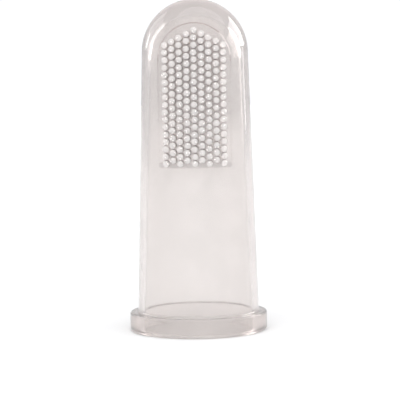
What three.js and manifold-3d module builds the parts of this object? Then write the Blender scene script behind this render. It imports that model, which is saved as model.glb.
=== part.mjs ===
// Finger toothbrush for pets: a clear silicone thimble that is pulled over a fingertip, with a bed of
// short bristles on the side that meets the teeth and a thick collar round the mouth to grip it by.
//
// Units are millimetres and +Z is up. The brush stands on its collar: the mouth's centre is the origin,
// the domed tip points up, and the bristles point along -Y.
import * as THREE from "three";
import { mergeVertices } from "three/addons/utils/BufferGeometryUtils.js";
import Module from "manifold-3d";

const wasm = await Module();
wasm.setup();

// Overall size of the thimble.
const HEIGHT = 60;
const COLLAR_RADIUS = 12.5;
const COLLAR_HEIGHT = 3.4;
const COLLAR_EDGE = 0.6; // rounding of the collar's two outer edges

// The sleeve tapers from the collar to the dome, and its wall thickens towards the closed tip.
const SLEEVE_BASE_RADIUS = 11.05;
const DOME_RADIUS = 9.6;
const MOUTH_BORE_RADIUS = 9.9;
const TIP_BORE_RADIUS = 8.15;
const TIP_WALL = 2.4;
const MOUTH_LEAD_IN = 0.4; // chamfer that lets the fingertip slide in

// The bristle bed: a low raised pad with a straight bottom edge and a half-round top.
const PAD_HALF_WIDTH = 6.5;
const PAD_BOTTOM = 30.05;
const PAD_TOP = 55.35;
const PAD_THICKNESS = 0.35;

// The bristles stand in columns, each on its own low rib, and every second column is half a row higher.
const COLUMNS = 9;
const COLUMN_PITCH = 1.27;
const ROW_PITCH = 1.285;
const FIRST_ROW = 30.7;
const BRISTLE_REACH = 2.8; // from the pad's face to the bristle's tip
const ROOT_RADIUS = 0.55;
const TIP_RADIUS = 0.49;
const TIP_ROUNDING = 0.22;
const RIB_THICKNESS = 0.3;
const RIB_WIDTH = 1.1;
const RIB_END = 0.6; // from the centre of a column's last bristle to the end of its rib
const ARCH_MARGIN = 1.5; // from the pad's arched edge down to the centre of a column's last bristle

// Pieces that lie on one another keep this gap, and cutters overshoot by this much.
const LAYER_GAP = 0.05;
const OVERSHOOT = 5;

// How finely round shapes are faceted.
const ROUND_SIDES = 48;
const DOME_STEPS = 12;
const EDGE_STEPS = 3;
const BRISTLE_SIDES = 6;

const DOME_CENTRE = HEIGHT - DOME_RADIUS;
const TIP_BORE_CENTRE = HEIGHT - TIP_WALL - TIP_BORE_RADIUS;
const ARCH_CENTRE = PAD_TOP - PAD_HALF_WIDTH;

const clearSilicone = new THREE.MeshStandardMaterial({
  name: "clear_silicone",
  color: new THREE.Color(0.84, 0.81, 0.8),
  roughness: 0.25,
  metalness: 0,
  transparent: true,
  opacity: 0.45,
});
const bristleSilicone = new THREE.MeshStandardMaterial({
  name: "bristle_silicone",
  color: new THREE.Color(0.89, 0.86, 0.84),
  roughness: 0.4,
  metalness: 0,
  transparent: true,
  opacity: 0.75,
});

// A profile point: distance from the axis, and height.
function at(radius, height) {
  return new THREE.Vector2(radius, height);
}

// Points along an arc of a profile, from one angle to another in degrees. 0 points away from the axis.
function arc(centreRadius, centreHeight, radius, fromDegrees, toDegrees, steps) {
  return Array.from({ length: steps + 1 }, (_, i) => {
    const angle = THREE.MathUtils.degToRad(
      THREE.MathUtils.lerp(fromDegrees, toDegrees, i / steps),
    );
    return at(
      Math.max(0, centreRadius + radius * Math.cos(angle)),
      centreHeight + radius * Math.sin(angle),
    );
  });
}

// A profile turned about the Z axis.
function turned(profile, sides = ROUND_SIDES) {
  return new THREE.LatheGeometry(profile, sides).rotateX(Math.PI / 2);
}

// A closed geometry as a solid that can be joined and cut.
function solidOf(geometry) {
  const bare = geometry.index ? geometry.toNonIndexed() : geometry.clone();
  bare.deleteAttribute("normal");
  bare.deleteAttribute("uv");
  const merged = mergeVertices(bare, 1e-4);
  const corners = merged.index.array;
  const triVerts = [];
  for (let i = 0; i < corners.length; i += 3) {
    const [a, b, c] = corners.subarray(i, i + 3);
    if (a !== b && b !== c && a !== c) triVerts.push(a, b, c);
  }
  return new wasm.Manifold(
    new wasm.Mesh({
      numProp: 3,
      vertProperties: merged.attributes.position.array,
      triVerts: new Uint32Array(triVerts),
    }),
  );
}

function geometryOf(solid) {
  const mesh = solid.getMesh();
  const geometry = new THREE.BufferGeometry();
  geometry.setAttribute("position", new THREE.BufferAttribute(mesh.vertProperties, 3));
  geometry.setIndex(new THREE.BufferAttribute(mesh.triVerts, 1));
  geometry.computeVertexNormals();
  return geometry;
}

function named(name, geometry, material) {
  const mesh = new THREE.Mesh(geometry, material);
  mesh.name = name;
  return mesh;
}

// The tapered wall with its closed dome, standing on the collar.
function fingerSleeve() {
  const profile = [
    ...arc(0, TIP_BORE_CENTRE, TIP_BORE_RADIUS, 90, 0, DOME_STEPS),
    at(MOUTH_BORE_RADIUS, COLLAR_HEIGHT),
    at(SLEEVE_BASE_RADIUS, COLLAR_HEIGHT),
    ...arc(0, DOME_CENTRE, DOME_RADIUS, 0, 90, DOME_STEPS),
  ];
  return named("finger_sleeve", turned(profile), clearSilicone);
}

// The thick ring round the mouth. Its flat underside is what the brush stands on.
function rimCollar() {
  const corner = COLLAR_RADIUS - COLLAR_EDGE;
  const profile = [
    at(MOUTH_BORE_RADIUS, COLLAR_HEIGHT),
    at(MOUTH_BORE_RADIUS, MOUTH_LEAD_IN),
    at(MOUTH_BORE_RADIUS + MOUTH_LEAD_IN, 0),
    ...arc(corner, COLLAR_EDGE, COLLAR_EDGE, -90, 0, EDGE_STEPS),
    ...arc(corner, COLLAR_HEIGHT - COLLAR_EDGE, COLLAR_EDGE, 0, 90, EDGE_STEPS),
    at(MOUTH_BORE_RADIUS, COLLAR_HEIGHT),
  ];
  return named("rim_collar", turned(profile), clearSilicone);
}

// The sleeve's outside grown by a given thickness, as a solid, from which the raised layers are cut.
function grownSleeve(thickness) {
  return solidOf(
    turned([
      at(0, COLLAR_HEIGHT),
      at(SLEEVE_BASE_RADIUS + thickness, COLLAR_HEIGHT),
      ...arc(0, DOME_CENTRE, DOME_RADIUS + thickness, 0, 90, DOME_STEPS),
    ]),
  );
}

// What lies in front of the axis, inside an outline drawn in X and Z, between two grown sleeves.
function layer(outline, innerThickness, outerThickness) {
  const depth = COLLAR_RADIUS + OVERSHOOT;
  const prism = new THREE.ExtrudeGeometry(outline, {
    depth,
    bevelEnabled: false,
    curveSegments: DOME_STEPS,
  }).rotateX(Math.PI / 2); // the outline's Y becomes Z, and the prism runs along -Y
  return solidOf(prism)
    .intersect(grownSleeve(outerThickness))
    .subtract(grownSleeve(innerThickness));
}

function padOutline() {
  const outline = new THREE.Shape();
  outline.moveTo(-PAD_HALF_WIDTH, PAD_BOTTOM);
  outline.lineTo(PAD_HALF_WIDTH, PAD_BOTTOM);
  outline.lineTo(PAD_HALF_WIDTH, ARCH_CENTRE);
  outline.absarc(0, ARCH_CENTRE, PAD_HALF_WIDTH, 0, Math.PI, false);
  outline.closePath();
  return outline;
}

function brushPad() {
  const bed = layer(padOutline(), LAYER_GAP, PAD_THICKNESS);
  return named("brush_pad", geometryOf(bed), clearSilicone);
}

// How far in front of the axis the sleeve's outside lies at a place in the bristle field.
function sleeveFront(x, z) {
  const taper = (z - COLLAR_HEIGHT) / (DOME_CENTRE - COLLAR_HEIGHT);
  const radius =
    z < DOME_CENTRE
      ? THREE.MathUtils.lerp(SLEEVE_BASE_RADIUS, DOME_RADIUS, taper)
      : Math.sqrt(DOME_RADIUS ** 2 - (z - DOME_CENTRE) ** 2);
  return Math.sqrt(radius ** 2 - x ** 2);
}

// The heights of one column's bristles, which stop short of the pad's arched edge.
function rowHeights(column, x) {
  const first = FIRST_ROW + (column % 2 ? ROW_PITCH / 2 : 0);
  const last = ARCH_CENTRE + Math.sqrt(PAD_HALF_WIDTH ** 2 - x ** 2) - ARCH_MARGIN;
  const count = Math.floor((last - first) / ROW_PITCH) + 1;
  return Array.from({ length: count }, (_, row) => first + row * ROW_PITCH);
}

// A tapered bristle with a rounded tip. Its root starts deeper than the pad's face, which slopes under it.
function bristle(x, z) {
  const face = sleeveFront(x, z) + PAD_THICKNESS;
  const root = face - ROOT_RADIUS;
  const tip = face + BRISTLE_REACH;
  const profile = [
    at(0, root),
    at(ROOT_RADIUS, root),
    at(TIP_RADIUS, tip - TIP_ROUNDING),
    at(TIP_RADIUS - TIP_ROUNDING, tip),
    at(0, tip),
  ];
  const peg = turned(profile, BRISTLE_SIDES);
  peg.rotateX(Math.PI / 2); // from +Z to -Y
  return solidOf(peg.translate(x, 0, z));
}

function ribOutline(x, heights) {
  const [left, right] = [x - RIB_WIDTH / 2, x + RIB_WIDTH / 2];
  const [bottom, top] = [heights[0] - RIB_END, heights[heights.length - 1] + RIB_END];
  return new THREE.Shape([at(left, bottom), at(right, bottom), at(right, top), at(left, top)]);
}

// One upright column of bristles on its rib, trimmed to lie on the pad.
function bristleColumn(column) {
  const x = (column - (COLUMNS - 1) / 2) * COLUMN_PITCH;
  const heights = rowHeights(column, x);
  const rib = layer(ribOutline(x, heights), PAD_THICKNESS, PAD_THICKNESS + RIB_THICKNESS);
  const joined = heights.reduce((made, z) => made.add(bristle(x, z)), rib);
  const trimmed = joined.subtract(grownSleeve(PAD_THICKNESS + LAYER_GAP));
  return named(`bristle_column_${column + 1}`, geometryOf(trimmed), bristleSilicone);
}

const brush = new THREE.Group();
brush.name = "finger_toothbrush";
brush.add(fingerSleeve(), rimCollar(), brushPad());
for (let column = 0; column < COLUMNS; column += 1) brush.add(bristleColumn(column));

export default brush;
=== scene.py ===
"""Looks of the pet finger toothbrush: a clear silicone thimble with a bed of short moulded bristles.

Everything is in metres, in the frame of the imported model: the brush stands on its collar, with its tip
up and its bristles towards -Y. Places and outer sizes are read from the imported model.
"""

import math

import bpy
from mathutils import Matrix, Vector


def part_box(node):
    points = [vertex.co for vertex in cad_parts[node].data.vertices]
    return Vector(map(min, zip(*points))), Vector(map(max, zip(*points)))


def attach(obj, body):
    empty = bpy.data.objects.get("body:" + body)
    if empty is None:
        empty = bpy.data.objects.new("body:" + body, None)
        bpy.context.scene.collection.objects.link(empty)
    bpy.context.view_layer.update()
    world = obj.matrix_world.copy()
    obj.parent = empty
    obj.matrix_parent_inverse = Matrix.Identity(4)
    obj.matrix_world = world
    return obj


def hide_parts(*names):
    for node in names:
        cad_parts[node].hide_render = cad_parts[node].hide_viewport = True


MM = 0.001
TURN = 2 * math.pi

# Hidden sizes of the moulding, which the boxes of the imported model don't give.
DOME_RADIUS = 9.6 * MM
MOUTH_BORE_RADIUS = 9.9 * MM
TIP_WALL = 2.4 * MM
TIP_BORE_RADIUS = 8.15 * MM
MOUTH_LEAD_IN = 0.4 * MM
BORE_BEND = 1 * MM  # rounding where the straight bore of the collar meets the tapered one
COLLAR_TOP_EDGE = 0.36 * MM
COLLAR_FOOT_EDGE = 0.6 * MM
COLLAR_FILLET = 0.38 * MM

# The raised pad: its height, and how wide the slopes are at its sides and along its straight foot.
PAD_RISE = 0.35 * MM
PAD_EDGE = 0.42 * MM
PAD_FOOT = 0.6 * MM

# How finely the thimble is meshed. Its columns crowd together at the front, where the pad is.
THIMBLE_COLUMNS = 230
FRONT_CROWDING = 0.55
OUTSIDE_STEP = 0.25 * MM
INSIDE_STEP = 1.1 * MM
CORNER_STEPS = 7

# The slight waviness of a soft moulding, and how many waves a metre holds.
WAVINESS = 0.03 * MM
WAVE_SCALE = 90.0

# Bristles: the columns, the spacing of their rows, and how far a column's box runs past its last bristle.
COLUMNS = 9
ROW_PITCH = 1.285 * MM
RIB_END = 0.6 * MM

# One bristle, from its flared root to its blunt tip.
BRISTLE_SIDES = 12
BRISTLE_REACH = 2.78 * MM
ROOT_FLARE_RADIUS = 0.63 * MM
SHAFT_RADIUS = 0.585 * MM
SHOULDER_RADIUS = 0.57 * MM
BRISTLE_TIP_ROUNDING = 0.16 * MM
TIP_ARC = (35, 65)  # degrees round the tip's rounding at which it has a corner
STANDING_GAP = 0.015 * MM
SQUARE_TIP_FROM = 0.7  # share of the reach above which the curve of the pad no longer shows

# How much one bristle differs from the next: in place, in lean (radians) and in thickness.
BRISTLE_STRAY = 0.02 * MM
BRISTLE_LEAN = 0.014
BRISTLE_SIZE_VARIATION = 0.03

# The thin line of painted shade round the pad's edge: its size, and how dark it is along the sides and on
# the arch.
EDGE_SHADE_WIDTH = 0.2 * MM
EDGE_SHADE_INSET = 0.1 * MM
EDGE_SHADE_FADE = 3 * MM
EDGE_SHADE_AT_SIDES = 0.35
EDGE_SHADE_ON_ARCH = 0.65  # added to that of the sides

# Silicone: how it bends light, and how deep its skin's relief is.
SILICONE_IOR = 1.41
RELIEF_DEPTH = 0.02 * MM

# Clouds and handling marks grow over these spans of their noise, and marks are that much finer.
CLOUD_SPAN = (0.38, 0.66)
MARK_SPAN = (0.5, 0.72)
MARK_FINENESS = 3.7

# Shorter stretches of a profile than this are left out, and closer points of a mesh are one point.
SHORTEST_STRETCH = MM / 1000
SAME_POINT = MM / 2000

# Attributes that the node trees leave on the meshes for the materials, and one that they use themselves.
OUTER_SKIN = "outer_skin"
UP_BRISTLE = "up_bristle"
ROOT_PLACE = "root_place"

# Where the camera stands, seen from the brush.
CAMERA_ELEVATION = math.radians(3.9)
CAMERA_AZIMUTH = math.radians(1.0)
CAMERA_ROLL = math.radians(-0.85)
CAMERA_LENS = 135
SENSOR_WIDTH = 36
VIEW_WIDTH = 72.8 * MM  # what the camera sees across, at the place that it aims at
AIM = Vector((0.54, 0, 23.58)) * MM
NEAREST_SEEN = 0.01
FARTHEST_SEEN = 50

# How bright the surroundings are, as light on the brush and as the white backdrop behind it.
WORLD_COLOUR = (0.98, 0.985, 1.0, 1)
WORLD_GLOW = 0.8
WORLD_SEEN = 1.05

# The floor, wide enough to fill every view, and the spread of the light from above.
FLOOR_RADIUS = 8
OVERHEAD_SPREAD = math.radians(90)


# ---------------------------------------------------------------- node trees


class Field:
    """A value inside a node tree. Arithmetic on it adds the nodes that work it out."""

    def __init__(self, tree, socket):
        self.tree = tree
        self.socket = socket

    def __add__(self, other):
        return maths("ADD", self, other)

    def __radd__(self, other):
        return maths("ADD", other, self)

    def __sub__(self, other):
        return maths("SUBTRACT", self, other)

    def __rsub__(self, other):
        return maths("SUBTRACT", other, self)

    def __mul__(self, other):
        return maths("MULTIPLY", self, other)

    def __rmul__(self, other):
        return maths("MULTIPLY", other, self)


def plug(tree, socket, value):
    """Links a field or a socket to a socket, or sets a plain value on it."""
    if isinstance(value, Field):
        value = value.socket
    if isinstance(value, bpy.types.NodeSocket):
        tree.links.new(value, socket)
    else:
        socket.default_value = value


def add_node(tree, kind, inputs=None, **settings):
    """Adds a node with these settings, and plugs its inputs by name or by number."""
    node = tree.nodes.new(kind)
    for name, value in settings.items():
        setattr(node, name, value)
    for key, value in (inputs or {}).items():
        plug(tree, node.inputs[key], value)
    return node


def field_of(tree, kind, output, inputs=None, **settings):
    """Adds a node and returns one of its outputs as a field."""
    return Field(tree, add_node(tree, kind, inputs, **settings).outputs[output])


def maths(operation, *values):
    """Adds a Math node to the tree that the fields among its values belong to."""
    tree = next(value.tree for value in values if isinstance(value, Field))
    return field_of(tree, "ShaderNodeMath", "Value", dict(enumerate(values)), operation=operation)


def smooth_step(value, start, end):
    """0 below start, 1 above end, and an even curve between them."""
    inputs = {"Value": value, "From Min": start, "From Max": end}
    return field_of(
        value.tree, "ShaderNodeMapRange", "Result", inputs, interpolation_type="SMOOTHSTEP"
    )


def vector(tree, x, y, z):
    return field_of(tree, "ShaderNodeCombineXYZ", "Vector", {"X": x, "Y": y, "Z": z})


def parts(vector_field):
    """The X, Y and Z of a vector, as three fields."""
    node = add_node(vector_field.tree, "ShaderNodeSeparateXYZ", {0: vector_field})
    return [Field(vector_field.tree, node.outputs[axis]) for axis in "XYZ"]


def noise(tree, place, scale, detail):
    return field_of(
        tree,
        "ShaderNodeTexNoise",
        "Fac",
        {"Vector": place, "Scale": scale, "Detail": detail},
        noise_dimensions="3D",
    )


def from_pad_middle(x, z, arch_centre):
    """How far a place is from the pad's middle line, or above the arch's centre from that centre."""
    above_centre = maths("MAXIMUM", z - arch_centre, 0.0)
    return maths("SQRT", x * x + above_centre * above_centre)


def new_group(name, tree_kind, inputs, outputs):
    """A node group with named inputs and outputs, both given as {name: kind of socket}."""
    tree = bpy.data.node_groups.new(name, tree_kind)
    for label, kind in inputs.items():
        tree.interface.new_socket(name=label, in_out="INPUT", socket_type="NodeSocket" + kind)
    for label, kind in outputs.items():
        tree.interface.new_socket(name=label, in_out="OUTPUT", socket_type="NodeSocket" + kind)
    start = tree.nodes.new("NodeGroupInput")
    end = tree.nodes.new("NodeGroupOutput")
    given = {label: Field(tree, start.outputs[label]) for label in inputs}
    return tree, given, end


def use_group(tree, kind, group, inputs):
    """Places a node group in a tree and plugs its inputs."""
    node = tree.nodes.new(kind)
    node.node_tree = group
    for key, value in inputs.items():
        plug(tree, node.inputs[key], value)
    return node


# ---------------------------------------------------------------- profiles


def rounded_path(corners, step):
    """Points through corners, each (radius, height, rounding), evenly spaced and with rounded corners."""
    places = [Vector(corner[:2]) for corner in corners]
    path = [places[0]]
    for i in range(1, len(corners)):
        here = places[i]
        before = (here - places[i - 1]).normalized()
        rounding = corners[i][2] if i < len(corners) - 1 else 0
        if not rounding:
            extend_straight(path, here, step)
            continue
        after = (places[i + 1] - here).normalized()
        turn = before.angle(after)
        side = Vector((-before.y, before.x))
        if side.dot(after) < 0:
            side = -side
        start = here - before * (rounding * math.tan(turn / 2))
        extend_straight(path, start, step)
        count = max(CORNER_STEPS, math.ceil(rounding * turn / step))
        for j in range(1, count + 1):
            angle = turn * j / count
            path.append(start + rounding * (math.sin(angle) * before + (1 - math.cos(angle)) * side))
    return path


def extend_straight(path, end, step):
    """Adds evenly spaced points to a path, up to and including its new end."""
    start = path[-1].copy()
    length = (end - start).length
    if length < SHORTEST_STRETCH:
        return
    count = math.ceil(length / step)
    path.extend(start.lerp(end, i / count) for i in range(1, count + 1))


def dome_corner(radius_below, height_below, radius, centre, height):
    """The corner and rounding of a dome that closes a tapered wall on the axis."""
    taper = (radius_below - radius) / (centre - height_below)
    corner = radius - taper * (height - centre)
    turn = math.pi / 2 - math.atan(taper)
    return corner, height, corner / math.tan(turn / 2)


def profile_object(name, points):
    """A chain of vertices, in order, that a node tree turns into a solid."""
    mesh = bpy.data.meshes.new(name)
    edges = [(i, i + 1) for i in range(len(points) - 1)]
    mesh.from_pydata([(p.x, 0, p.y) for p in points], edges, [])
    piece = bpy.data.objects.new(name, mesh)
    bpy.context.scene.collection.objects.link(piece)
    return piece


def grown(piece, tree, values):
    """Runs a node tree on a piece and keeps its result as a plain mesh, with no modifier."""
    modifier = piece.modifiers.new(tree.name, "NODES")
    modifier.node_group = tree
    for item in tree.interface.items_tree:
        if item.item_type == "SOCKET" and item.in_out == "INPUT" and item.name in values:
            modifier[item.identifier] = values[item.name]
    evaluated = piece.evaluated_get(bpy.context.evaluated_depsgraph_get())
    mesh = bpy.data.meshes.new_from_object(evaluated)
    piece.modifiers.remove(modifier)
    chain = piece.data
    piece.data = mesh
    bpy.data.meshes.remove(chain)
    mesh.name = piece.name
    return piece


# ---------------------------------------------------------------- geometry node groups


def turning_group():
    """Turns a chain of vertices about the Z axis into a closed skin."""
    tree, given, end = new_group(
        "turned_skin",
        "GeometryNodeTree",
        {"Profile": "Geometry", "Columns": "Int", "Crowding": "Float"},
        {"Skin": "Geometry"},
    )
    rows = field_of(
        tree,
        "GeometryNodeAttributeDomainSize",
        "Point Count",
        {"Geometry": given["Profile"]},
        component="MESH",
    )
    sheet = add_node(
        tree,
        "GeometryNodeMeshGrid",
        {
            "Size X": 1.0,
            "Size Y": 1.0,
            "Vertices X": given["Columns"] + 1.0,
            "Vertices Y": rows,
        },
    )
    across, along, _ = parts(field_of(tree, "GeometryNodeInputPosition", "Position"))
    row = maths("ROUND", (along + 0.5) * (rows - 1.0))
    place = field_of(
        tree,
        "GeometryNodeSampleIndex",
        "Value",
        {
            "Geometry": given["Profile"],
            "Value": field_of(tree, "GeometryNodeInputPosition", "Position"),
            "Index": row,
        },
        data_type="FLOAT_VECTOR",
    )
    radius, _, height = parts(place)
    # The seam lies at the back, and columns crowd together at the front, where the detail is.
    even = (across + 0.5) * TURN
    angle = even + given["Crowding"] * maths("SINE", even)
    wrapped = vector(
        tree, radius * maths("SINE", angle), radius * maths("COSINE", angle), height
    )
    turned = add_node(
        tree,
        "GeometryNodeSetPosition",
        {"Geometry": sheet.outputs["Mesh"], "Position": wrapped},
    )
    closed = add_node(
        tree,
        "GeometryNodeMergeByDistance",
        {"Geometry": turned.outputs["Geometry"], "Distance": SAME_POINT},
    )
    plug(tree, end.inputs["Skin"], closed.outputs["Geometry"])
    return tree


def thimble_group(turned_skin):
    """The whole thimble: its turned skin, with the raised pad and the slight waviness of soft silicone."""
    tree, given, end = new_group(
        "thimble_moulding",
        "GeometryNodeTree",
        {
            "Profile": "Geometry",
            "Columns": "Int",
            "Crowding": "Float",
            "Pad Half Width": "Float",
            "Pad Bottom": "Float",
            "Arch Centre": "Float",
            "Pad Rise": "Float",
            "Pad Edge": "Float",
            "Pad Foot": "Float",
            "Waviness": "Float",
            "Wave Scale": "Float",
            "Material": "Material",
        },
        {"Moulding": "Geometry"},
    )
    skin = use_group(
        tree,
        "GeometryNodeGroup",
        turned_skin,
        {key: given[key] for key in ("Profile", "Columns", "Crowding")},
    )
    position = field_of(tree, "GeometryNodeInputPosition", "Position")
    normal = field_of(tree, "GeometryNodeInputNormal", "Normal")
    x, y, z = parts(position)
    normal_x, normal_y, _ = parts(normal)
    outside = maths("GREATER_THAN", x * normal_x + y * normal_y, 0.0)
    outer_front = outside * maths("LESS_THAN", y, 0.0)

    from_middle = from_pad_middle(x, z, given["Arch Centre"])
    inside_sides = smooth_step(given["Pad Half Width"] - from_middle, 0.0, given["Pad Edge"])
    above_foot = smooth_step(z - given["Pad Bottom"], 0.0, given["Pad Foot"])
    raised = inside_sides * above_foot * outer_front

    waves = noise(tree, position, given["Wave Scale"], detail=1.0)
    rise = raised * given["Pad Rise"] + (waves - 0.5) * given["Waviness"]
    lifted = field_of(
        tree, "ShaderNodeVectorMath", "Vector", {0: normal, "Scale": rise}, operation="SCALE"
    )
    marked = add_node(
        tree,
        "GeometryNodeStoreNamedAttribute",
        {"Geometry": skin.outputs["Skin"], "Name": OUTER_SKIN, "Value": outer_front},
        data_type="FLOAT",
    )
    shaped = add_node(
        tree,
        "GeometryNodeSetPosition",
        {"Geometry": marked.outputs["Geometry"], "Offset": lifted},
    )
    finish_geometry(tree, end, "Moulding", shaped.outputs["Geometry"], given["Material"])
    return tree


def finish_geometry(tree, end, output, geometry, material):
    """Ends a tree with real, smooth geometry in one material."""
    real = add_node(tree, "GeometryNodeRealizeInstances", {"Geometry": geometry})
    smooth = add_node(tree, "GeometryNodeSetShadeSmooth", {"Geometry": real.outputs["Geometry"]})
    painted = add_node(
        tree,
        "GeometryNodeSetMaterial",
        {"Geometry": smooth.outputs["Geometry"], "Material": material},
    )
    plug(tree, end.inputs[output], painted.outputs["Geometry"])


def front_of(tree, body, x, z):
    """How far forward a body's front lies at a place in X and Z, as a Y."""
    well_in_front = -1.0
    hit = field_of(
        tree,
        "GeometryNodeRaycast",
        "Hit Position",
        {
            "Target Geometry": body,
            "Source Position": vector(tree, x, well_in_front, z),
            "Ray Direction": (0.0, 1.0, 0.0),
            "Ray Length": -2 * well_in_front,
        },
    )
    return parts(hit)[1]


def bristle_column_group(turned_skin):
    """One upright column of bristles whose roots follow the pad that they grow from."""
    tree, given, end = new_group(
        "bristle_column",
        "GeometryNodeTree",
        {
            "Profile": "Geometry",
            "Sides": "Int",
            "Body": "Object",
            "Across": "Float",
            "First Row": "Float",
            "Row Pitch": "Float",
            "Rows": "Int",
            "Reach": "Float",
            "Stray": "Float",
            "Lean": "Float",
            "Size Variation": "Float",
            "Standing Gap": "Float",
            "Seed": "Int",
            "Material": "Material",
        },
        {"Bristles": "Geometry"},
    )
    skin = use_group(
        tree,
        "GeometryNodeGroup",
        turned_skin,
        {"Profile": given["Profile"], "Columns": given["Sides"], "Crowding": 0.0},
    )
    _, _, up_bristle = parts(field_of(tree, "GeometryNodeInputPosition", "Position"))
    measured = add_node(
        tree,
        "GeometryNodeStoreNamedAttribute",
        {"Geometry": skin.outputs["Skin"], "Name": UP_BRISTLE, "Value": up_bristle},
        data_type="FLOAT",
    )
    lean = random_number(0.0, given["Lean"], given["Seed"])
    swing = random_number(0.0, given["Lean"], given["Seed"] + 1.0)
    size = random_number(1.0, given["Size Variation"], given["Seed"] + 2.0)
    sideways = random_number(0.0, given["Stray"], given["Seed"] + 3.0)
    upward = random_number(0.0, given["Stray"], given["Seed"] + 4.0)

    row = field_of(tree, "GeometryNodeInputIndex", "Index")
    height = given["First Row"] + row * given["Row Pitch"]
    root = vector(tree, given["Across"] + sideways, 0.0, height + upward)
    line = add_node(tree, "GeometryNodeMeshLine", {"Count": given["Rows"]})
    placed = add_node(
        tree,
        "GeometryNodeSetPosition",
        {"Geometry": line.outputs["Mesh"], "Position": root},
    )
    rooted = add_node(
        tree,
        "GeometryNodeStoreNamedAttribute",
        {
            "Geometry": placed.outputs["Geometry"],
            "Name": ROOT_PLACE,
            "Value": field_of(tree, "GeometryNodeInputPosition", "Position"),
        },
        data_type="FLOAT_VECTOR",
    )
    standing = add_node(
        tree,
        "GeometryNodeInstanceOnPoints",
        {
            "Points": rooted.outputs["Geometry"],
            "Instance": measured.outputs["Geometry"],
            "Rotation": vector(tree, lean + math.pi / 2, 0.0, swing),
            "Scale": vector(tree, size, size, 1.0),
        },
    )
    real = add_node(
        tree, "GeometryNodeRealizeInstances", {"Geometry": standing.outputs["Instances"]}
    )
    body = field_of(
        tree,
        "GeometryNodeObjectInfo",
        "Geometry",
        {"Object": given["Body"]},
        transform_space="ORIGINAL",
    )
    x, _, z = parts(field_of(tree, "GeometryNodeInputPosition", "Position"))
    root_x, _, root_z = parts(named_attribute(tree, ROOT_PLACE, "FLOAT_VECTOR"))
    up = named_attribute(tree, UP_BRISTLE, "FLOAT")
    own_front = front_of(tree, body, x, z)
    root_front = front_of(tree, body, root_x, root_z)
    at_tip = smooth_step(up, 0.0, given["Reach"] * SQUARE_TIP_FROM)
    foot = own_front + (root_front - own_front) * at_tip
    seated = add_node(
        tree,
        "GeometryNodeSetPosition",
        {
            "Geometry": real.outputs["Geometry"],
            "Position": vector(tree, x, foot - up - given["Standing Gap"], z),
        },
    )
    bare = add_node(
        tree,
        "GeometryNodeRemoveAttribute",
        {"Geometry": seated.outputs["Geometry"], "Name": ROOT_PLACE},
    )
    finish_geometry(tree, end, "Bristles", bare.outputs["Geometry"], given["Material"])
    return tree


def random_number(middle, spread, seed):
    """A number for each point, within a spread of a middle value."""
    return field_of(
        spread.tree,
        "FunctionNodeRandomValue",
        1,
        {2: middle - spread, 3: middle + spread, "Seed": seed},
        data_type="FLOAT",
    )


def named_attribute(tree, name, data_type):
    return field_of(
        tree, "GeometryNodeInputNamedAttribute", "Attribute", {"Name": name}, data_type=data_type
    )


# ---------------------------------------------------------------- pieces


def thimble_profile(sizes):
    """From the outside of the tip down over the collar and up the bore to the inside of the tip."""
    wall_outside = dome_corner(
        sizes["sleeve_radius"],
        sizes["collar_height"],
        sizes["dome_radius"],
        sizes["dome_centre"],
        sizes["height"],
    )
    bore_top = sizes["height"] - TIP_WALL
    wall_inside = dome_corner(
        MOUTH_BORE_RADIUS,
        sizes["collar_height"],
        TIP_BORE_RADIUS,
        bore_top - TIP_BORE_RADIUS,
        bore_top,
    )
    outside = rounded_path(
        [
            (0, sizes["height"], 0),
            wall_outside,
            (sizes["sleeve_radius"], sizes["collar_height"], COLLAR_FILLET),
            (sizes["collar_radius"], sizes["collar_height"], COLLAR_TOP_EDGE),
            (sizes["collar_radius"], 0, COLLAR_FOOT_EDGE),
            (MOUTH_BORE_RADIUS + MOUTH_LEAD_IN, 0, 0),
        ],
        OUTSIDE_STEP,
    )
    inside = rounded_path(
        [
            (MOUTH_BORE_RADIUS + MOUTH_LEAD_IN, 0, 0),
            (MOUTH_BORE_RADIUS, MOUTH_LEAD_IN, MOUTH_LEAD_IN),
            (MOUTH_BORE_RADIUS, sizes["collar_height"], BORE_BEND),
            wall_inside,
            (0, bore_top, 0),
        ],
        INSIDE_STEP,
    )
    return outside + inside[1:]


def make_thimble(sizes, turned_skin, material):
    """Sleeve, collar and pad as the one skin that they are on the real moulding."""
    body = profile_object("silicone_thimble", thimble_profile(sizes))
    values = {
        "Columns": THIMBLE_COLUMNS,
        "Crowding": FRONT_CROWDING,
        "Pad Half Width": sizes["pad_half_width"],
        "Pad Bottom": sizes["pad_bottom"],
        "Arch Centre": sizes["arch_centre"],
        "Pad Rise": PAD_RISE,
        "Pad Edge": PAD_EDGE,
        "Pad Foot": PAD_FOOT,
        "Waviness": WAVINESS,
        "Wave Scale": WAVE_SCALE,
        "Material": material,
    }
    grown(body, thimble_group(turned_skin), values)
    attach(body, "root")
    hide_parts("finger_sleeve", "rim_collar", "brush_pad")
    return body


def bristle_profile():
    """From the blunt rounded tip down the tapered shaft to the root, which flares into the pad."""
    flare = ROOT_FLARE_RADIUS - SHAFT_RADIUS
    shaft = [
        (0, 0),
        (ROOT_FLARE_RADIUS, 0),
        (SHAFT_RADIUS, 2 * flare),
        (SHOULDER_RADIUS, BRISTLE_REACH - BRISTLE_TIP_ROUNDING),
    ]
    for degrees in TIP_ARC:
        angle = math.radians(degrees)
        inset = BRISTLE_TIP_ROUNDING * (1 - math.cos(angle))
        rise = BRISTLE_TIP_ROUNDING * math.sin(angle)
        shaft.append((SHOULDER_RADIUS - inset, BRISTLE_REACH - BRISTLE_TIP_ROUNDING + rise))
    shaft.append((0, BRISTLE_REACH))
    return [Vector(place) for place in reversed(shaft)]


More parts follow.
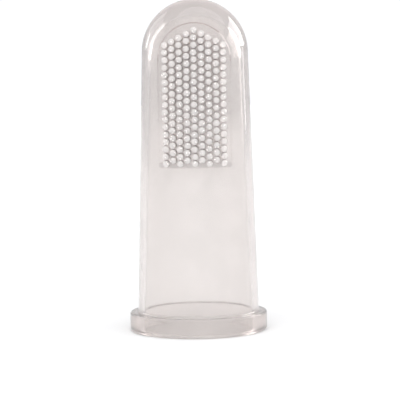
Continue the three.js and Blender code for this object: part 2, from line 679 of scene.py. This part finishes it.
def make_bristle_column(number, body, column_tree, material):
    """The bristles of one column, placed by the column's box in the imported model."""
    node = f"bristle_column_{number}"
    low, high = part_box(node)
    first_row = low[2] + RIB_END
    last_row = high[2] - RIB_END
    bristles = profile_object(f"moulded_bristles_{number}", bristle_profile())
    values = {
        "Sides": BRISTLE_SIDES,
        "Body": body,
        "Across": (low[0] + high[0]) / 2,
        "First Row": first_row,
        "Row Pitch": ROW_PITCH,
        "Rows": round((last_row - first_row) / ROW_PITCH) + 1,
        "Reach": BRISTLE_REACH,
        "Stray": BRISTLE_STRAY,
        "Lean": BRISTLE_LEAN,
        "Size Variation": BRISTLE_SIZE_VARIATION,
        "Standing Gap": STANDING_GAP,
        "Seed": 10 * number,
        "Material": material,
    }
    grown(bristles, column_tree, values)
    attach(bristles, "root")
    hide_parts(node)
    return bristles


# ---------------------------------------------------------------- materials


def haze_group():
    """Faint cloudiness and handling marks of silicone, as a colour and a roughness."""
    tree, given, end = new_group(
        "silicone_haze",
        "ShaderNodeTree",
        {
            "Clear Colour": "Color",
            "Cloudy Colour": "Color",
            "Cloud Scale": "Float",
            "Smooth Roughness": "Float",
            "Marked Roughness": "Float",
        },
        {"Colour": "Color", "Roughness": "Float"},
    )
    place = field_of(tree, "ShaderNodeTexCoord", "Object")
    clouds = noise(tree, place, given["Cloud Scale"], detail=3.0)
    cloudy = smooth_step(clouds, *CLOUD_SPAN)
    colour = field_of(
        tree,
        "ShaderNodeMix",
        2,
        {0: cloudy, 6: given["Clear Colour"], 7: given["Cloudy Colour"]},
        data_type="RGBA",
    )
    smears = noise(tree, place, given["Cloud Scale"] * MARK_FINENESS, detail=5.0)
    marked = smooth_step(smears, *MARK_SPAN)
    span = given["Marked Roughness"] - given["Smooth Roughness"]
    plug(tree, end.inputs["Colour"], colour)
    plug(tree, end.inputs["Roughness"], given["Smooth Roughness"] + span * marked)
    return tree


def moulded_skin_group():
    """The fine skin that the mould leaves: soft orange peel and a thin parting line at both sides."""
    tree, given, end = new_group(
        "moulded_skin",
        "ShaderNodeTree",
        {
            "Peel Scale": "Float",
            "Peel Height": "Float",
            "Parting Height": "Float",
            "Parting Width": "Float",
        },
        {"Height": "Float"},
    )
    place = field_of(tree, "ShaderNodeTexCoord", "Object")
    _, y, _ = parts(place)
    peel = noise(tree, place, given["Peel Scale"], detail=2.0) * given["Peel Height"]
    off_line = smooth_step(maths("ABSOLUTE", y), 0.0, given["Parting Width"])
    ridge = (1.0 - off_line) * given["Parting Height"]
    plug(tree, end.inputs["Height"], peel + ridge)
    return tree


def surface_attribute(tree, name):
    """A number that a node tree left on the mesh."""
    return field_of(tree, "ShaderNodeAttribute", "Fac", attribute_name=name)


def pad_edge_painted_shade(tree, sizes):
    """Painted shade where the raised pad's sides and arch meet the sleeve: 1 on the thin line, 0 away from
    it.
    """
    x, _, z = parts(field_of(tree, "ShaderNodeTexCoord", "Object"))
    from_middle = from_pad_middle(x, z, sizes["arch_centre"])
    off_line = maths("ABSOLUTE", from_middle - sizes["pad_half_width"] + EDGE_SHADE_INSET)
    above_foot = smooth_step(z, sizes["pad_bottom"], sizes["pad_bottom"] + PAD_FOOT)
    on_line = 1.0 - smooth_step(off_line, EDGE_SHADE_WIDTH / 4, EDGE_SHADE_WIDTH)
    arched = smooth_step(z, sizes["arch_centre"] - EDGE_SHADE_FADE, sizes["arch_centre"] + EDGE_SHADE_FADE)
    depth = EDGE_SHADE_AT_SIDES + EDGE_SHADE_ON_ARCH * arched
    return on_line * above_foot * depth * surface_attribute(tree, OUTER_SKIN)


def painted_root_shade(tree):
    """Painted shade in the bed between bristles, by how deep a place on a bristle lies: 0 at the tip, 1 at
    the root.
    """
    return 1.0 - smooth_step(surface_attribute(tree, UP_BRISTLE), 0.0, BRISTLE_REACH)


def silicone_material(
    name, groups, haze, skin, bump, absorption, transmission, shade, shade_colour
):
    """Clear silicone: a hazy skin over a body that swallows a little light.

    The shade is a function that adds a mask of painted shade to the tree, and the shade colour is painted
    where it is 1.
    """
    material = bpy.data.materials.new(name)
    material.use_nodes = True
    tree = material.node_tree
    tree.nodes.clear()
    hazy = use_group(tree, "ShaderNodeGroup", groups["haze"], haze)
    moulded = use_group(tree, "ShaderNodeGroup", groups["skin"], skin)
    relief = add_node(
        tree,
        "ShaderNodeBump",
        {"Height": moulded.outputs["Height"], "Strength": bump, "Distance": RELIEF_DEPTH},
    )
    # Painted shade: the shade colour is mixed into the base colour where the mask is 1.
    colour = field_of(
        tree,
        "ShaderNodeMix",
        2,
        {0: shade(tree), 6: hazy.outputs["Colour"], 7: shade_colour},
        data_type="RGBA",
    )
    surface = add_node(
        tree,
        "ShaderNodeBsdfPrincipled",
        {
            "Base Color": colour,
            "Roughness": hazy.outputs["Roughness"],
            "Normal": relief.outputs["Normal"],
            "IOR": SILICONE_IOR,
            "Transmission Weight": transmission,
            "Metallic": 0.0,
        },
    )
    inside = add_node(
        tree,
        "ShaderNodeVolumeAbsorption",
        {"Color": absorption["colour"], "Density": absorption["density"]},
    )
    output = tree.nodes.new("ShaderNodeOutputMaterial")
    plug(tree, output.inputs["Surface"], surface.outputs["BSDF"])
    plug(tree, output.inputs["Volume"], inside.outputs["Volume"])
    return material


def clear_silicone(groups, sizes):
    return silicone_material(
        "moulded_clear_silicone",
        groups,
        haze={
            "Clear Colour": (0.95, 0.935, 0.925, 1),
            "Cloudy Colour": (0.98, 0.965, 0.955, 1),
            "Cloud Scale": 160.0,
            "Smooth Roughness": 0.06,
            "Marked Roughness": 0.16,
        },
        skin={
            "Peel Scale": 900.0,
            "Peel Height": 0.5,
            "Parting Height": 1.0,
            "Parting Width": 0.09 * MM,
        },
        bump=0.5,
        absorption={"colour": (0.65, 0.53, 0.49, 1), "density": 128.0},
        transmission=0.86,
        # Painted shade: a thin darker line along the pad's edge, in the shade colour below.
        shade=lambda tree: pad_edge_painted_shade(tree, sizes),
        shade_colour=(0.52, 0.44, 0.42, 1),
    )


def bristle_silicone(groups):
    return silicone_material(
        "moulded_bristle_silicone",
        groups,
        haze={
            "Clear Colour": (0.97, 0.94, 0.925, 1),
            "Cloudy Colour": (1.0, 0.975, 0.96, 1),
            "Cloud Scale": 700.0,
            "Smooth Roughness": 0.18,
            "Marked Roughness": 0.35,
        },
        skin={
            "Peel Scale": 1500.0,
            "Peel Height": 0.5,
            "Parting Height": 0.0,
            "Parting Width": 0.09 * MM,
        },
        bump=0.6,
        absorption={"colour": (0.66, 0.54, 0.51, 1), "density": 24.0},
        transmission=0.5,
        # Painted shade: the bristles are coloured darker towards their roots, in the shade colour below.
        shade=painted_root_shade,
        shade_colour=(0.88, 0.82, 0.8, 1),
    )


# ---------------------------------------------------------------- stage, light and camera


def make_floor():
    """A wide, plain pale floor."""
    bpy.ops.mesh.primitive_circle_add(vertices=64, radius=FLOOR_RADIUS, fill_type="NGON")
    floor = bpy.context.object
    floor.name = "studio_floor"
    material = bpy.data.materials.new("pale_floor")
    material.use_nodes = True
    surface = material.node_tree.nodes["Principled BSDF"]
    surface.inputs["Base Color"].default_value = (0.9, 0.9, 0.9, 1)
    surface.inputs["Roughness"].default_value = 0.9
    surface.inputs["Specular IOR Level"].default_value = 0.1
    floor.data.materials.append(material)


def softbox(name, place, size, power, target, lit):
    """A soft rectangular light that faces a target, doesn't show itself and lights one collection."""
    data = bpy.data.lights.new(name, "AREA")
    data.shape = "RECTANGLE"
    data.size, data.size_y = size
    data.energy = power
    place = Vector(place)
    light = bpy.data.objects.new(name, data)
    light.matrix_world = Matrix.Translation(place) @ facing(target - place)
    light.visible_camera = False
    light.light_linking.receiver_collection = lit
    bpy.context.scene.collection.objects.link(light)


def facing(direction):
    """The turn that points -Z along a direction and keeps +Y up."""
    return direction.to_track_quat("-Z", "Y").to_matrix().to_4x4()


def overhead_light(name, strength, tilt):
    """Soft light from far above, which lights the whole floor evenly. The tilt is in degrees."""
    data = bpy.data.lights.new(name, "SUN")
    data.energy = strength
    data.angle = OVERHEAD_SPREAD
    light = bpy.data.objects.new(name, data)
    light.rotation_euler = [math.radians(degrees) for degrees in tilt]
    bpy.context.scene.collection.objects.link(light)


def make_lights(middle, brush):
    """Even light from above, and softboxes behind both sides that draw highlights on the clear wall."""
    overhead_light("overhead", strength=1.2, tilt=(22, 12, 0))
    overhead_light("front_fill", strength=0.9, tilt=(58, 0, -20))
    for name, place, size, power in (
        ("right_softbox", (0.44, 0.26, 0.25), (0.34, 0.3), 1.5),
        ("right_strip", (0.4, 0.3, 0.07), (0.05, 0.06), 0.02),
        ("left_softbox", (-0.44, 0.26, 0.27), (0.4, 0.4), 0.5),
        ("left_glint", (-0.39, 0.3, 0.16), (0.05, 0.12), 0.1),
    ):
        softbox(name, place, size, power, middle, brush)


def make_world():
    """A pale surround, a little brighter where the camera looks at it than as a light."""
    world = bpy.data.worlds.new("studio")
    bpy.context.scene.world = world
    world.use_nodes = True
    tree = world.node_tree
    background = tree.nodes["Background"]
    seen = field_of(tree, "ShaderNodeLightPath", "Is Camera Ray")
    plug(tree, background.inputs["Color"], WORLD_COLOUR)
    plug(tree, background.inputs["Strength"], WORLD_GLOW + (WORLD_SEEN - WORLD_GLOW) * seen)


def make_camera():
    """Looks at the front of the brush from a little above, through a long lens."""
    data = bpy.data.cameras.new("camera")
    data.lens = CAMERA_LENS
    data.sensor_width = SENSOR_WIDTH
    distance = VIEW_WIDTH * CAMERA_LENS / SENSOR_WIDTH
    level = math.cos(CAMERA_ELEVATION)
    back = Vector(
        (
            level * math.sin(CAMERA_AZIMUTH),
            -level * math.cos(CAMERA_AZIMUTH),
            math.sin(CAMERA_ELEVATION),
        )
    )
    camera = bpy.data.objects.new("camera", data)
    roll = Matrix.Rotation(CAMERA_ROLL, 4, "Z")
    camera.matrix_world = Matrix.Translation(AIM + back * distance) @ facing(-back) @ roll
    data.clip_start = NEAREST_SEEN
    data.clip_end = FARTHEST_SEEN
    bpy.context.scene.collection.objects.link(camera)
    bpy.context.scene.camera = camera


# ---------------------------------------------------------------- the whole scene


def sizes_of_frame():
    """The outer sizes of the brush, from the boxes of its nodes."""
    _, collar_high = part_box("rim_collar")
    _, sleeve_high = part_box("finger_sleeve")
    pad_low, pad_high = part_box("brush_pad")
    return {
        "collar_radius": collar_high[0],
        "collar_height": collar_high[2],
        "sleeve_radius": sleeve_high[0],
        "height": sleeve_high[2],
        "dome_centre": sleeve_high[2] - DOME_RADIUS,
        "dome_radius": DOME_RADIUS,
        "pad_half_width": pad_high[0],
        "pad_bottom": pad_low[2],
        "arch_centre": pad_high[2] - pad_high[0],
    }


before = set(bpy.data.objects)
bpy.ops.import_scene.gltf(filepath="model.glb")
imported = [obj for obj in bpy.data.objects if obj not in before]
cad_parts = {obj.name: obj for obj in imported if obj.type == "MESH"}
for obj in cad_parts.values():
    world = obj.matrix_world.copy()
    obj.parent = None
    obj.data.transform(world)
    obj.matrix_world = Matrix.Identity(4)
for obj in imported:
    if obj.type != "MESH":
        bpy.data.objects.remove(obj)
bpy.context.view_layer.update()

make_camera()
sizes = sizes_of_frame()
turned_skin = turning_group()
groups = {"haze": haze_group(), "skin": moulded_skin_group()}
brush = bpy.data.collections.new("brush")
thimble = make_thimble(sizes, turned_skin, clear_silicone(groups, sizes))
brush.objects.link(thimble)
column_tree = bristle_column_group(turned_skin)
bristle_material = bristle_silicone(groups)
for number in range(1, COLUMNS + 1):
    brush.objects.link(make_bristle_column(number, thimble, column_tree, bristle_material))

make_floor()
make_lights(Vector((0, 0, sizes["height"] / 2)), brush)
make_world()
bpy.context.scene.view_settings.view_transform = "Standard"
